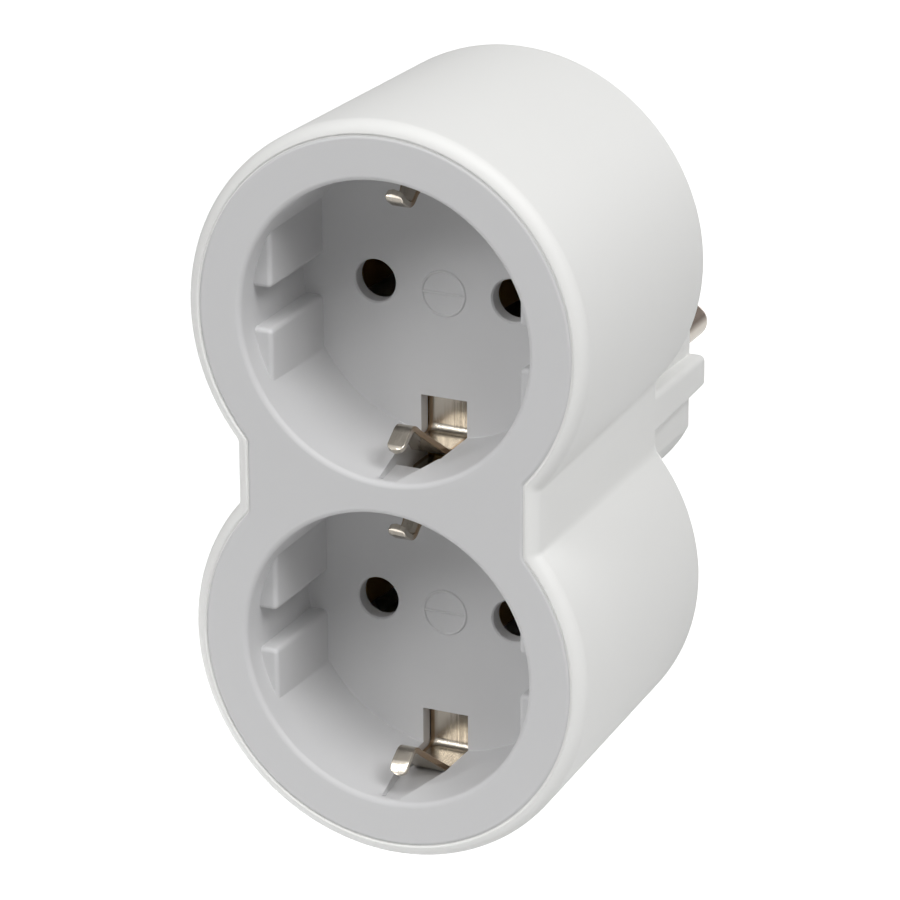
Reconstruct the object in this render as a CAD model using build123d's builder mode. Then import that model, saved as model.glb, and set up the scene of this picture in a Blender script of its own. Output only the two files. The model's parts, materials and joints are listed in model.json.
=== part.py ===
from build123d import *
from math import atan, degrees
import os

# Frame: the origin is the middle of the plug face, between the two pins. +Y runs along the pins into
# the wall, the socket face looks along -Y and +Z is up. Heights are measured from the plug face to the front.

# Overall layout
well_pitch = 43.4
pin_pitch = 19.0
bracket_pitch = 43.9
boss_length = 17.5
case_depth = 42.0
sheet = 0.8
fit_gap = 0.05

# Housing
lobe_front_r = 27.2
lobe_back_r = 25.7
waist_back_half = 19.3
waist_reach = 20.0
crease_back_r = 2.5
front_round = 1.8
back_round = 1.4
wall = 2.0
cavity_r = 23.5
cavity_waist_half = 17.0
cavity_crease_r = 2.8
seam_gap = 0.12

# Plug body
boss_r = 18.6
boss_flat_x = 16.75
rib_reach = 18.85
rib_half = 2.2
rib_draft = 1.5
boss_round = 1.0
rib_round = 0.8
boss_face = 2.5
boss_cavity_half_height = 14.4
tube_r = 4.0
earth_groove_width = 8.0
earth_groove_z = 16.4
post_z = 9.0
post_side = 2.0

# Plug pins
pin_r = 2.4
pin_length = 19.0
pin_tip_round = 2.0
pin_root_r = 2.8
collar_r = 3.6
spigot_r = 1.5
pin_head_r = 2.0
pin_head_height = 0.7

# Face insert
face_r = 25.4
face_waist_half = 19.0
face_crease_r = 0.9
face_thickness = 3.0
face_round = 0.6
well_r = 19.55
well_depth = 17.8
well_rim_round = 0.75
cup_wall = 1.6
floor_thickness = 2.0
lug_inner_x = 16.87
lug_slot_half = 2.7
lug_end = 10.85
lug_front_depth = 3.4
lug_root = 0.8
lug_drop = 0.33
hole_r = 2.8
hole_chamfer = 0.15
mark_r = 3.15
mark_line = 0.25
mark_height = 0.12
mark_drop = 0.4

# Earth slots and grooves, measured outward from the well's middle and back from the face
slot_half = 3.2
slot_start = 14.35
groove_start = 18.4
groove_end = 21.4
groove_wall = 1.2
groove_front_depth = 0.9
groove_front_edge = 19.3
groove_step_depth = 3.0
groove_step_edge = 20.4
groove_ramp_depth = 9.0
groove_ramp_edge = 21.0
groove_tip_half = 1.2
groove_wide_depth = 11.0
window_depth = 9.8

# Earth bracket, along the middle of its sheet: depth behind the face and distance from the well's middle
arm_edge = 20.3
arm_bend_depth = 13.9
arm_peak_depth = 6.45
arm_peak = 14.45
arm_curl_depth = 4.3
arm_curl = 15.85
arm_tip_depth = 3.4
arm_tip = 17.1
arm_bend_r = 1.4
arm_half = 2.65
tongue_half = 1.2
tongue_depth = 8.0
tip_round = 1.05

# Socket contacts and contact bars
bar_width = 6.0
bar_overhang = 4.0
contact_sheet = 0.6
contact_width = 5.0
contact_base_half = 3.0
contact_grip_half = 2.55
contact_mouth_half = 3.2
contact_grip_drop = 5.5
contact_top_gap = 0.5
contact_bend_r = 0.8
pad_r = 3.5
pad_bore_r = 2.4

# Plug earth bow
bow_half = 2.7
bow_leg = 16.85
bow_peak = 17.8
bow_start = 14.0
bow_middle = 9.0
bow_end = 4.0
bow_tip = 1.2
bow_bend_r = 1.2
bow_slot_half = 3.0
bow_slot_start = 15.5
bow_slot_end = 17.35

# Earth bar
leg_x = 3.1
leg_width = 6.0
leg_bend_r = 0.9

# Rivets and screws
rivet_r = 1.2
rivet_head_r = 2.1
rivet_head_height = 0.6
recess_r = 2.4
recess_depth = 0.8
screw_x = 13.5
screw_z = 32.5
screw_boss_r = 4.2
screw_boss_height = 4.0
screw_seat = 3.0
screw_head_r = 2.8
screw_head_height = 2.0
screw_head_bore_r = 3.1
screw_r = 1.4
screw_length = 13.0
screw_hole_r = 1.6
screw_post_r = 3.25
screw_post_gap = 0.1
screw_pilot_depth = 12.0
drive_length = 3.2
drive_width = 0.7
drive_depth = 1.1

# Heights and places that follow
front = boss_length + case_depth
ledge = front - face_thickness
floor_top = front - well_depth
floor_under = floor_top - floor_thickness
back_inner = boss_length + wall
collar_top = back_inner + sheet
bar_top = collar_top + sheet
contact_base_top = bar_top + contact_sheet
contact_top = floor_under - contact_top_gap
bracket_base = floor_under - sheet
earth_bar_base = bracket_base - sheet
bow_top = back_inner + sheet
foot_top = bow_top + sheet
seat_height = boss_length + screw_seat
screw_boss_top = back_inner + screw_boss_height
post_bottom = screw_boss_top + screw_post_gap
cup_r = well_r + cup_wall
well_z = well_pitch / 2
bracket_z = bracket_pitch / 2
draft = degrees(atan((lobe_front_r - lobe_back_r) / case_depth))
pin_x = pin_pitch / 2
hole_bore = rivet_r + fit_gap
bar_length = 2 * (well_z + bar_overhang)
earth_groove_middle = (boss_r + earth_groove_z) / 2
bow_slot_middle = (bow_slot_end + bow_slot_start) / 2
groove_box_width = 2 * (slot_half + groove_wall)
groove_box_height = groove_end + groove_wall - groove_start
groove_box_middle = well_z + groove_start + groove_box_height / 2
slot_middle = (slot_start + groove_end) / 2
well_spots = [(0, well_z), (0, -well_z)]
bracket_spots = [(0, bracket_z), (0, -bracket_z)]
mark_spots = [(0, well_z - mark_drop), (0, -well_z - mark_drop)]
screw_spots = [(screw_x, screw_z), (-screw_x, -screw_z)]
hole_spots = [(x, z) for x in (pin_x, -pin_x) for z in (well_z, -well_z)]
pin_spots = [(pin_x, 0), (-pin_x, 0)]
slot_spots = [(0, z + step) for z in (well_z, -well_z) for step in (slot_middle, -slot_middle)]
well_places = [(0, 0, well_z), (0, 0, -well_z)]
arm_places = [Location((0, 0, z), (0, turn, 0)) for z in (well_z, -well_z) for turn in (0, 180)]


def at_height(height):
    """Plane square to the pins, looking to the front."""
    return Plane.XZ.offset(height)


def at_well(height, well):
    """The same plane with its origin on a well's axis."""
    return Plane(origin=(well[0], -height, well[2]), x_dir=(1, 0, 0), z_dir=(0, -1, 0))


def figure_eight(radius, half_width, crease_r):
    """Outline of two lobes joined by the waist, with hollow creases."""
    with BuildSketch() as outline:
        with Locations(*well_spots):
            Circle(radius)
        Rectangle(2 * half_width, waist_reach)
        fillet(outline.vertices().filter_by_position(Axis.Y, -waist_reach / 2, waist_reach / 2), crease_r)
    return outline.sketch


def bent_strip(points, bend_r, thickness):
    """Edge-on view of a bent strip, drawn in the open sketch."""
    with BuildLine() as path:
        FilletPolyline(*points, radius=bend_r)
    trace(path.line, line_width=thickness)


# Housing: the outline widens from the back to the front; the plug body with its guide ribs is on the back
with BuildPart() as case:
    with BuildSketch(at_height(boss_length)):
        add(figure_eight(lobe_back_r, waist_back_half, crease_back_r))
    extrude(amount=case_depth, taper=-draft)
    fillet(case.edges().group_by(Axis.Y)[0], front_round)
    fillet(case.edges().group_by(Axis.Y)[-1], back_round)

with BuildPart() as plug_body:
    with BuildSketch(Plane.XZ):
        Circle(boss_r)
        Rectangle(2 * boss_flat_x, 2 * boss_r, mode=Mode.INTERSECT)
    extrude(amount=boss_length + wall)
    fillet(plug_body.edges().group_by(Axis.Y)[-1], boss_round)

with BuildPart() as guide_rib:
    with BuildSketch(Plane.XZ):
        Rectangle(2 * rib_reach, 2 * rib_half)
    extrude(amount=boss_length + back_round, taper=-rib_draft)
    rows = guide_rib.edges().group_by(Axis.Y)
    fillet(rows[1] + rows[-1], rib_round)

with BuildPart() as housing:
    add(case.part)
    add(plug_body.part)
    add(guide_rib.part)
    with BuildSketch(at_height(ledge)):
        add(figure_eight(face_r + seam_gap, face_waist_half + seam_gap, face_crease_r - seam_gap))
    extrude(amount=face_thickness, mode=Mode.SUBTRACT)
    with BuildSketch(at_height(back_inner)):
        add(figure_eight(cavity_r, cavity_waist_half, cavity_crease_r))
    extrude(amount=ledge - back_inner, mode=Mode.SUBTRACT)
    with BuildSketch(at_height(boss_face)):
        Circle(boss_r - wall)
        Rectangle(2 * (boss_flat_x - wall), 2 * boss_cavity_half_height, mode=Mode.INTERSECT)
    extrude(amount=back_inner - boss_face, mode=Mode.SUBTRACT)
    with BuildSketch(at_height(boss_face)):
        with Locations(*pin_spots):
            Circle(tube_r)
        with Locations((0, post_z), (0, -post_z)):
            Rectangle(post_side, post_side)
    extrude(amount=back_inner - boss_face)
    with BuildSketch(at_height(back_inner)):
        with Locations(*hole_spots):
            Circle(pad_r)
            Circle(pad_bore_r, mode=Mode.SUBTRACT)
    extrude(amount=collar_top - back_inner)
    with BuildSketch(at_height(back_inner)):
        with Locations(*screw_spots):
            Circle(screw_boss_r)
    extrude(amount=screw_boss_height)
    with BuildSketch(at_height(boss_length)):
        with Locations(*screw_spots):
            Circle(screw_head_bore_r)
    extrude(amount=screw_seat, mode=Mode.SUBTRACT)
    with BuildSketch(at_height(seat_height)):
        with Locations(*screw_spots):
            Circle(screw_hole_r)
    extrude(amount=screw_boss_top - seat_height, mode=Mode.SUBTRACT)
    with BuildSketch(Plane.XZ):
        with Locations(*pin_spots):
            Circle(pin_root_r + fit_gap)
    extrude(amount=back_inner, mode=Mode.SUBTRACT)
    with BuildSketch(Plane.XZ):
        with Locations((0, earth_groove_middle), (0, -earth_groove_middle)):
            Rectangle(earth_groove_width, boss_r - earth_groove_z)
    extrude(amount=boss_length, mode=Mode.SUBTRACT)
    with BuildSketch(at_height(boss_length)):
        with Locations((0, bow_slot_middle), (0, -bow_slot_middle)):
            Rectangle(2 * bow_slot_half, bow_slot_end - bow_slot_start)
    extrude(amount=wall, mode=Mode.SUBTRACT)

# Face insert: plate, two cups with lugs, pin holes, earth slots and grooves, and a window from well to well
with BuildPart() as groove:
    with BuildSketch(Plane.YZ):
        with BuildLine():
            Polyline(
                (groove_front_depth - front, groove_start),
                (groove_front_depth - front, groove_front_edge),
                (groove_step_depth - front, groove_step_edge),
                (groove_ramp_depth - front, groove_ramp_edge),
                (-floor_top, groove_end),
                (-floor_under, groove_end),
                (-floor_under, groove_start),
                close=True,
            )
        make_face()
    extrude(amount=slot_half, both=True)
    with BuildSketch(Plane.XY.offset(groove_start)):
        with BuildLine():
            Polyline(
                (-groove_tip_half, groove_front_depth - front),
                (groove_tip_half, groove_front_depth - front),
                (slot_half, groove_wide_depth - front),
                (slot_half, -floor_under),
                (-slot_half, -floor_under),
                (-slot_half, groove_wide_depth - front),
                close=True,
            )
        make_face()
    extrude(amount=groove_end - groove_start, mode=Mode.INTERSECT)

with BuildPart() as face_insert:
    with BuildSketch(at_height(ledge)):
        add(figure_eight(face_r, face_waist_half, face_crease_r))
    extrude(amount=face_thickness)
    fillet(face_insert.edges().group_by(Axis.Y)[0], face_round)
    with BuildSketch(at_height(floor_under)):
        with Locations(*well_spots):
            Circle(cup_r)
        with Locations((0, groove_box_middle), (0, -groove_box_middle)):
            Rectangle(groove_box_width, groove_box_height)
        Rectangle(groove_box_width, 2 * (well_z - well_r))
    extrude(amount=ledge - floor_under)
    with BuildSketch(at_height(floor_top)):
        with Locations(*well_spots):
            Circle(well_r)
    extrude(amount=well_depth, mode=Mode.SUBTRACT)
    rings = face_insert.edges().filter_by(GeomType.CIRCLE)
    rims = rings.filter_by(lambda e: abs(e.radius - well_r) < fit_gap)
    fillet(rims.group_by(Axis.Y)[0], well_rim_round)
    for well in well_places:
        with BuildSketch(at_well(floor_top, well)):
            Circle(well_r + lug_root)
            Rectangle(2 * lug_inner_x, 2 * cup_r, mode=Mode.SUBTRACT)
            with Locations((0, -lug_drop)):
                Rectangle(2 * cup_r, 2 * lug_end, mode=Mode.INTERSECT)
                Rectangle(2 * cup_r, 2 * lug_slot_half, mode=Mode.SUBTRACT)
        extrude(amount=well_depth - lug_front_depth)
    with BuildSketch(at_height(floor_under)):
        with Locations(*hole_spots):
            Circle(hole_r)
        with Locations(*slot_spots):
            Rectangle(2 * slot_half, groove_end - slot_start)
    extrude(amount=floor_thickness, mode=Mode.SUBTRACT)
    rings = face_insert.edges().filter_by(GeomType.CIRCLE)
    mouths = rings.filter_by(lambda e: abs(e.radius - hole_r) < fit_gap)
    chamfer(mouths.group_by(Axis.Y)[0], hole_chamfer)
    with Locations(*arm_places):
        add(groove.part, mode=Mode.SUBTRACT)
    with BuildSketch(at_height(floor_under)):
        Rectangle(2 * slot_half, 2 * (well_z - groove_start))
    extrude(amount=front - window_depth - floor_under, mode=Mode.SUBTRACT)
    with BuildSketch(at_height(floor_top)):
        with Locations(*mark_spots):
            Circle(mark_r)
            Circle(mark_r - mark_line, mode=Mode.SUBTRACT)
            Rectangle(2 * mark_r - mark_line, mark_line)
    extrude(amount=mark_height)
    with BuildSketch(at_height(floor_under)):
        with Locations(*bracket_spots):
            Circle(recess_r)
    extrude(amount=recess_depth, mode=Mode.SUBTRACT)
    with BuildSketch(at_height(post_bottom)):
        with Locations(*screw_spots):
            Circle(screw_post_r)
    extrude(amount=floor_under - post_bottom)
    with BuildSketch(at_height(post_bottom)):
        with Locations(*screw_spots):
            Circle(screw_r + fit_gap)
    extrude(amount=screw_pilot_depth, mode=Mode.SUBTRACT)

# Earth brackets: a bent strip under each well floor with a spring arm through either slot
arm = [
    (arm_tip_depth - front, arm_tip),
    (arm_curl_depth - front, arm_curl),
    (arm_peak_depth - front, arm_peak),
    (arm_bend_depth - front, arm_edge),
    (-bracket_base - sheet / 2, arm_edge),
]

with BuildPart() as earth_bracket:
    with BuildSketch(Plane.YZ):
        bent_strip(arm + [(y, -z) for y, z in reversed(arm)], arm_bend_r, sheet)
    extrude(amount=arm_half, both=True)
    with BuildSketch(Plane.XY):
        with BuildLine():
            Polyline(
                (-arm_half, -bracket_base),
                (-arm_half, arm_bend_depth - front),
                (-tongue_half, tongue_depth - front),
                (-tongue_half, -front),
                (tongue_half, -front),
                (tongue_half, tongue_depth - front),
                (arm_half, arm_bend_depth - front),
                (arm_half, -bracket_base),
                close=True,
            )
        make_face()
    extrude(amount=groove_end, both=True, mode=Mode.INTERSECT)
    with BuildSketch(at_height(bracket_base)):
        Circle(hole_bore)
    extrude(amount=sheet, mode=Mode.SUBTRACT)
    edges = earth_bracket.edges().filter_by(GeomType.LINE)
    tips = edges.filter_by(lambda e: abs(e.length - sheet) < fit_gap)
    fillet(tips, tip_round)

with BuildPart() as upper_earth_bracket:
    with Locations((0, 0, bracket_z)):
        add(earth_bracket.part)

with BuildPart() as lower_earth_bracket:
    with Locations((0, 0, -bracket_z)):
        add(earth_bracket.part)

# Earth bar: the strip behind both brackets, with a leg down to a foot on the plug's earth bow
with BuildPart() as earth_bar:
    with BuildSketch(Plane.XY):
        bent_strip(
            [
                (bow_half, -earth_bar_base - sheet / 2),
                (-leg_x, -earth_bar_base - sheet / 2),
                (-leg_x, -bow_top - sheet / 2),
                (bow_half, -bow_top - sheet / 2),
            ],
            leg_bend_r,
            sheet,
        )
    extrude(amount=leg_width / 2, both=True)
    with BuildSketch(at_height(earth_bar_base)):
        Rectangle(2 * bow_half, bar_length)
        with Locations(*bracket_spots):
            Circle(hole_bore, mode=Mode.SUBTRACT)
    extrude(amount=sheet)
    with BuildSketch(at_height(bow_top)):
        Circle(hole_bore)
    extrude(amount=sheet, mode=Mode.SUBTRACT)

# Plug earth bow: its legs lie in the grooves above and below the plug body
leg = [
    (-bow_tip, bow_leg),
    (-bow_end, bow_leg),
    (-bow_middle, bow_peak),
    (-bow_start, bow_leg),
    (-back_inner - sheet / 2, bow_leg),
]

with BuildPart() as plug_earth_bow:
    with BuildSketch(Plane.YZ):
        bent_strip(leg + [(y, -z) for y, z in reversed(leg)], bow_bend_r, sheet)
    extrude(amount=bow_half, both=True)
    with BuildSketch(at_height(back_inner)):
        Circle(hole_bore)
    extrude(amount=sheet, mode=Mode.SUBTRACT)

# Contact bars and forked socket contacts
with BuildPart() as contact_bar:
    with BuildSketch(at_height(collar_top)):
        SlotOverall(bar_length, bar_width, rotation=90)
        Circle(spigot_r + fit_gap, mode=Mode.SUBTRACT)
        with Locations(*well_spots):
            Circle(hole_bore, mode=Mode.SUBTRACT)
    extrude(amount=sheet)

with BuildPart() as live_contact_bar:
    with Locations((pin_x, 0, 0)):
        add(contact_bar.part)

with BuildPart() as neutral_contact_bar:
    with Locations((-pin_x, 0, 0)):
        add(contact_bar.part)

fork = [
    (contact_mouth_half, -contact_top),
    (contact_grip_half, contact_grip_drop - contact_top),
    (contact_base_half, -bar_top - contact_sheet / 2),
]

with BuildPart() as contact:
    with BuildSketch(Plane.XY):
        bent_strip(fork + [(-x, y) for x, y in reversed(fork)], contact_bend_r, contact_sheet)
    extrude(amount=contact_width / 2, both=True)
    with BuildSketch(at_height(bar_top)):
        Circle(hole_bore)
    extrude(amount=contact_sheet, mode=Mode.SUBTRACT)

with BuildPart() as upper_live_contact:
    with Locations((pin_x, 0, well_z)):
        add(contact.part)

with BuildPart() as lower_live_contact:
    with Locations((pin_x, 0, -well_z)):
        add(contact.part)

with BuildPart() as upper_neutral_contact:
    with Locations((-pin_x, 0, well_z)):
        add(contact.part)

with BuildPart() as lower_neutral_contact:
    with Locations((-pin_x, 0, -well_z)):
        add(contact.part)

# Plug pins, turned
with BuildPart() as plug_pin:
    with BuildSketch(Plane.XY) as pin_section:
        with BuildLine():
            Polyline(
                (0, pin_length),
                (pin_r, pin_length),
                (pin_r, 0),
                (pin_root_r, 0),
                (pin_root_r, -back_inner),
                (collar_r, -back_inner),
                (collar_r, -collar_top),
                (spigot_r, -collar_top),
                (spigot_r, -bar_top),
                (pin_head_r, -bar_top),
                (pin_head_r, -bar_top - pin_head_height),
                (0, -bar_top - pin_head_height),
                close=True,
            )
        make_face()
        fillet(pin_section.vertices().sort_by_distance((pin_r, pin_length))[0], pin_tip_round)
    revolve(axis=Axis.Y)

with BuildPart() as live_plug_pin:
    with Locations((pin_x, 0, 0)):
        add(plug_pin.part)

with BuildPart() as neutral_plug_pin:
    with Locations((-pin_x, 0, 0)):
        add(plug_pin.part)


def add_rivets(spots, bottom, top):
    """Rivets with a head below and above the sheets they join, in the open part."""
    for base, radius, height in (
        (bottom - rivet_head_height, rivet_head_r, rivet_head_height),
        (bottom, rivet_r, top - bottom),
        (top, rivet_head_r, rivet_head_height),
    ):
        with BuildSketch(at_height(base)) as section:
            with Locations(*spots):
                Circle(radius)
        extrude(section.sketch, amount=height)


with BuildPart() as contact_rivets:
    add_rivets(hole_spots, collar_top, contact_base_top)

with BuildPart() as earth_rivets:
    add_rivets(bracket_spots, earth_bar_base, floor_under)
    add_rivets([(0, 0)], back_inner, foot_top)

# Case screws, from the back
with BuildPart() as case_screws:
    with BuildSketch(at_height(seat_height - screw_head_height)):
        with Locations(*screw_spots):
            Circle(screw_head_r)
    extrude(amount=screw_head_height)
    with BuildSketch(at_height(seat_height)):
        with Locations(*screw_spots):
            Circle(screw_r)
    extrude(amount=screw_length)
    with BuildSketch(at_height(seat_height - screw_head_height)):
        with Locations(*screw_spots):
            Rectangle(drive_length, drive_width)
            Rectangle(drive_width, drive_length)
    extrude(amount=drive_depth, mode=Mode.SUBTRACT)

pieces = {
    "housing": housing,
    "face_insert": face_insert,
    "live_plug_pin": live_plug_pin,
    "neutral_plug_pin": neutral_plug_pin,
    "live_contact_bar": live_contact_bar,
    "neutral_contact_bar": neutral_contact_bar,
    "upper_live_contact": upper_live_contact,
    "lower_live_contact": lower_live_contact,
    "upper_neutral_contact": upper_neutral_contact,
    "lower_neutral_contact": lower_neutral_contact,
    "contact_rivets": contact_rivets,
    "upper_earth_bracket": upper_earth_bracket,
    "lower_earth_bracket": lower_earth_bracket,
    "earth_bar": earth_bar,
    "plug_earth_bow": plug_earth_bow,
    "earth_rivets": earth_rivets,
    "case_screws": case_screws,
}

os.makedirs("parts", exist_ok=True)
for name, piece in pieces.items():
    piece.part.label = name
    export_step(piece.part, f"parts/{name}.step")
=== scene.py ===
"""Two-way socket adapter: a white housing with a plug at the back and a grey face with two earthed wells."""
import json
from math import acos, asin, atan2, cos, pi, radians, sin, sqrt, tan

import bmesh
import bpy
from mathutils import Matrix, Vector


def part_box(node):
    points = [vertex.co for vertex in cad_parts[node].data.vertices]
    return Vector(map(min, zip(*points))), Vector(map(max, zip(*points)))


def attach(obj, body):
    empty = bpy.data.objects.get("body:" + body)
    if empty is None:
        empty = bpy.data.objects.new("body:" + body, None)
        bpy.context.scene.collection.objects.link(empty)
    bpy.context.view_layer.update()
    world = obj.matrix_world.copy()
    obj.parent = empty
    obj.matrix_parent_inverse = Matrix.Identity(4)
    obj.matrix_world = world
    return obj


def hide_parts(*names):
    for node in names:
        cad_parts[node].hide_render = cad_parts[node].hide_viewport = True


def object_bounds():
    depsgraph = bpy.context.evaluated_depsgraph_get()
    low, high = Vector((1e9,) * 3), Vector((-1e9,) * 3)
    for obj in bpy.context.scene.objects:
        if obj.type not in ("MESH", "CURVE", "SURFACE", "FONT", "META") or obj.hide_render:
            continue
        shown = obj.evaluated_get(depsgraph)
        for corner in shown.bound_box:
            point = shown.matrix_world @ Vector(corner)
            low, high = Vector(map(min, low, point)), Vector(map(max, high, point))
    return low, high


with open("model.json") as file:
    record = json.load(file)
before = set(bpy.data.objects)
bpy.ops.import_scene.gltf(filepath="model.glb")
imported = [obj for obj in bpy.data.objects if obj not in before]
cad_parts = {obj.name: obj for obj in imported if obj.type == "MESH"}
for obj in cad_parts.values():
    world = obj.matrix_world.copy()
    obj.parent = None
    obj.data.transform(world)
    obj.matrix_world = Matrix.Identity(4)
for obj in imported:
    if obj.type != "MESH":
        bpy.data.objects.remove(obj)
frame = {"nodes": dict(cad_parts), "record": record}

bl_info = {
    "name": "Socket adapter",
    "version": (1, 0, 0),
    "blender": (4, 5, 0),
    "location": "View3D > Sidebar > Adapter",
    "description": "Builds a two-way socket adapter, its finishes and its studio",
    "category": "Object",
}

MM = 0.001
CAD_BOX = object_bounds()
BODY = "root"
LOBE_STEPS = 128
CREASE_STEPS = 6
WAIST_STEPS = 4
ROUND_STEPS = 8
WELL_STEPS = 192
HOLE_STEPS = 64
PIN_STEPS = 96
ARM_SPACING = 0.25 * MM
BOW_SPACING = 0.4 * MM
# How far a cutter goes past the face it cuts, and a smaller step where two cuts meet
SPILL = 1 * MM
TOUCH = SPILL / 4
# Rounding left on the innermost section of a rounded end, so that none of its edges has no length
LAST_ROUND = 0.02 * MM
# Edges sharper than this stay crisp
SHARP = radians(32)
# Camera's sensor in millimetres, and the nearest and furthest distance it sees in metres
SENSOR = 36
NEAR = 0.01
FAR = 50

# Places that the frame gives; a height is a distance in front of the plug face
FRONT = -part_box("face_insert")[0].y
PIN_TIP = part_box("live_plug_pin")[1].y
PIN_X = (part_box("live_plug_pin")[0].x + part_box("live_plug_pin")[1].x) / 2
WELL_Z = (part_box("upper_live_contact")[0].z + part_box("upper_live_contact")[1].z) / 2
BRACKET_Z = (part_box("upper_earth_bracket")[0].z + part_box("upper_earth_bracket")[1].z) / 2
BRACKET_BASE = -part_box("upper_earth_bracket")[1].y
BOW_TOP = -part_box("plug_earth_bow")[0].y
PIN_END = -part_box("live_plug_pin")[0].y
BAR_LOW = -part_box("live_contact_bar")[1].y
BAR_HIGH = -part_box("live_contact_bar")[0].y
SCREW_HEAD = -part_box("case_screws")[1].y
SCREW_END = -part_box("case_screws")[0].y


def length(label, millimetres, about):
    """A length that a user may change, given in millimetres."""
    return bpy.props.FloatProperty(
        name=label, description=about, default=millimetres * MM, min=0.0, unit="LENGTH", precision=5
    )


def tint(label, colour, about):
    """A colour that a user may change."""
    return bpy.props.FloatVectorProperty(
        name=label, description=about, default=colour, size=3, min=0.0, max=1.0, subtype="COLOR"
    )


def turn(label, degrees, about):
    """An angle that a user may change, given in degrees."""
    return bpy.props.FloatProperty(name=label, description=about, default=radians(degrees), subtype="ANGLE")


def level(label, value, about):
    """A plain number that a user may change."""
    return bpy.props.FloatProperty(name=label, description=about, default=value, min=0.0, precision=3)


class HousingSizes(bpy.types.PropertyGroup):
    """Sizes of the white housing and of the plug body on its back."""

    lobe_front: length("Lobe front radius", 27.19, "Radius of a lobe at the socket face")
    lobe_back: length("Lobe back radius", 25.69, "Radius of a lobe at the back")
    waist_back: length("Waist back half", 19.3, "Half width between the lobes at the back")
    crease_back: length("Crease", 2.5, "Hollow radius where the waist meets a lobe, at the back")
    front_round: length("Front rounding", 1.8, "Rounding of the front outer edge")
    back_round: length("Back rounding", 1.4, "Rounding of the back outer edge")
    lip_round: length("Lip rounding", 0.2, "Rounding of the rim beside the face")
    lip_depth: length("Lip depth", 0.17, "Depth of the line between the rim and the face")
    seam: length("Seam", 0.03, "Gap between the rim and the face")
    wall: length("Wall", 2.0, "Thickness of the back wall")
    cavity: length("Cavity radius", 23.5, "Inside radius of a lobe")
    cavity_waist: length("Cavity waist half", 17.0, "Inside half width of the waist")
    cavity_crease: length("Cavity crease", 2.8, "Hollow radius inside the waist")
    plug_length: length("Plug length", 17.5, "Length of the plug body")
    plug_radius: length("Plug radius", 18.6, "Radius of the plug body")
    plug_flat: length("Plug flat", 16.75, "Distance of the plug's side flats from the middle")
    plug_round: length("Plug rounding", 1.0, "Rounding of the plug face's edge")
    plug_face: length("Plug face", 2.5, "Thickness of the plug face")
    hollow_half: length("Hollow half height", 14.4, "Half height of the hollow in the plug body")
    rib_reach: length("Rib reach", 18.85, "How far the guide ribs reach from the middle, at the plug face")
    rib_half: length("Rib half width", 2.2, "Half width of the guide ribs, at the plug face")
    rib_draft: turn("Rib draft", 1.5, "Lean of the guide ribs' sides")
    rib_round: length("Rib rounding", 0.8, "Rounding of the guide ribs")
    tube: length("Pin tube", 4.0, "Radius of the tube around a pin")
    pin_gap: length("Pin gap", 0.05, "Room around a pin")
    groove_half: length("Groove half width", 4.0, "Half width of the grooves for the earth bow")
    groove_floor: length("Groove floor", 16.4, "Distance of the grooves' floors from the middle")
    slot_half: length("Slot half width", 3.0, "Half width of the slots that the earth bow goes through")
    slot_inner: length("Slot inner end", 15.5, "Inner end of those slots")
    slot_outer: length("Slot outer end", 17.35, "Outer end of those slots")
    screw_x: length("Screw x", 13.5, "Distance of a screw from the middle, across")
    screw_z: length("Screw z", 32.5, "Distance of a screw from the middle, up")
    screw_seat: length("Screw seat", 3.0, "Depth of a screw's recess")
    screw_recess: length("Screw recess", 3.1, "Radius of a screw's recess")
    screw_boss: length("Screw boss", 4.2, "Radius of the boss around a screw, inside")
    screw_boss_height: length("Screw boss height", 4.0, "Height of that boss")
    screw_hole: length("Screw hole", 1.6, "Radius of a screw's hole")


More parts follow.
